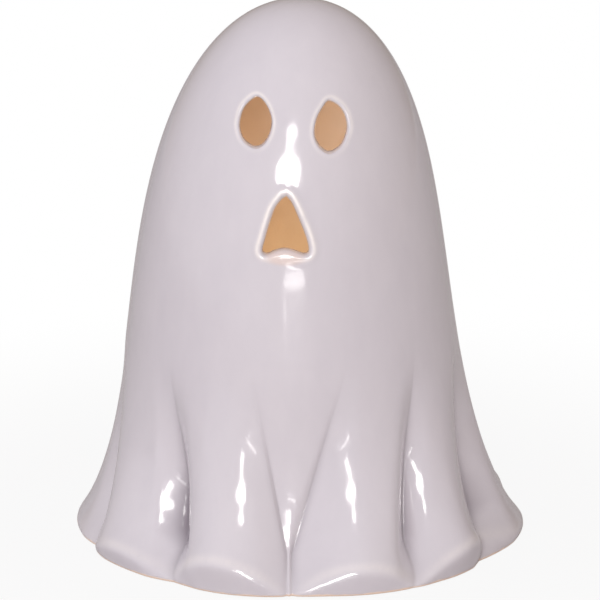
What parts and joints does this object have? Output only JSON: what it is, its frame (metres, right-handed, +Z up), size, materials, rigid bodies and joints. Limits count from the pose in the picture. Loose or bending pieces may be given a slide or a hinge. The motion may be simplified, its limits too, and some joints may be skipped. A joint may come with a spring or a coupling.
{
  "type": "lit ceramic ghost",
  "caption": "Glazed ceramic ghost with a draped hem and cut-out eyes and mouth, lit from inside by a battery light base set in its floor.",
  "frame": {"origin": "on the table, in the middle of the ceramic foot", "axes": "+Z up, the face looks along -Y, +X to the right of someone facing it"},
  "size_m": [0.1404, 0.1427, 0.165],
  "materials": {
    "glaze": "glossy pale lavender white glaze",
    "seal_rubber": "matt black",
    "housing_plastic": "moulded white, fine texture",
    "pad_rubber": "matt dark grey",
    "deck_plastic": "moulded white, fine texture",
    "screw_steel": "bright zinc",
    "dome_frost": "frosted, warm",
    "led_epoxy": "clear warm resin",
    "lead_red": "soft sleeve",
    "lead_black": "soft sleeve",
    "board_green": "solder mask",
    "chip_black": "moulded resin",
    "resistor_tan": "lacquered",
    "capacitor_sleeve": "shrink sleeve",
    "switch_black": "moulded",
    "knob_black": "moulded",
    "cell_sleeve": "printed sleeve",
    "contact_nickel": "nickel plate",
    "spring_steel": "nickel plate",
    "door_plastic": "moulded white, fine texture"
  },
  "bodies": {
    "light_base": {"seal_ring": "seal_rubber", "base_housing": "housing_plastic", "base_feet": "pad_rubber", "base_deck": "deck_plastic", "deck_screws": "screw_steel", "light_dome": "dome_frost", "led_lamp": "led_epoxy", "led_lead_red": "lead_red", "led_lead_black": "lead_black", "circuit_board": "board_green", "timer_chip": "chip_black", "resistor": "resistor_tan", "capacitor": "capacitor_sleeve", "slide_switch": "switch_black", "cell_front": "cell_sleeve", "cell_rear": "cell_sleeve", "negative_contact": "contact_nickel", "positive_contact": "contact_nickel", "bridge_contact": "contact_nickel", "contact_springs": "spring_steel", "battery_lead_red": "lead_red", "battery_lead_black": "lead_black"},
    "ghost": {"ghost_shell": "glaze"},
    "switch_knob": {"switch_knob": "knob_black"},
    "battery_door": {"battery_door": "door_plastic"},
    "door_screw": {"door_screw": "screw_steel"}
  },
  "joints": [
    {"name": "ghost_lift", "type": "slide", "parent": "light_base", "child": "ghost", "axis": [0, 0, 1], "range_m": [0, 0.08]},
    {"name": "switch_slide", "type": "slide", "parent": "light_base", "child": "switch_knob", "axis": [1, 0, 0], "range_m": [0, 0.004]},
    {"name": "door_swing", "type": "hinge", "parent": "light_base", "child": "battery_door", "pos_m": [-0.0252, -0.004, 0.0024], "axis": [0, 1, 0], "range_deg": [0, 90]},
    {"name": "door_screw_turn", "type": "hinge", "parent": "battery_door", "child": "door_screw", "pos_m": [0.0295, -0.004, 0.0024], "axis": [0, 0, 1], "continuous": true}
  ]
}
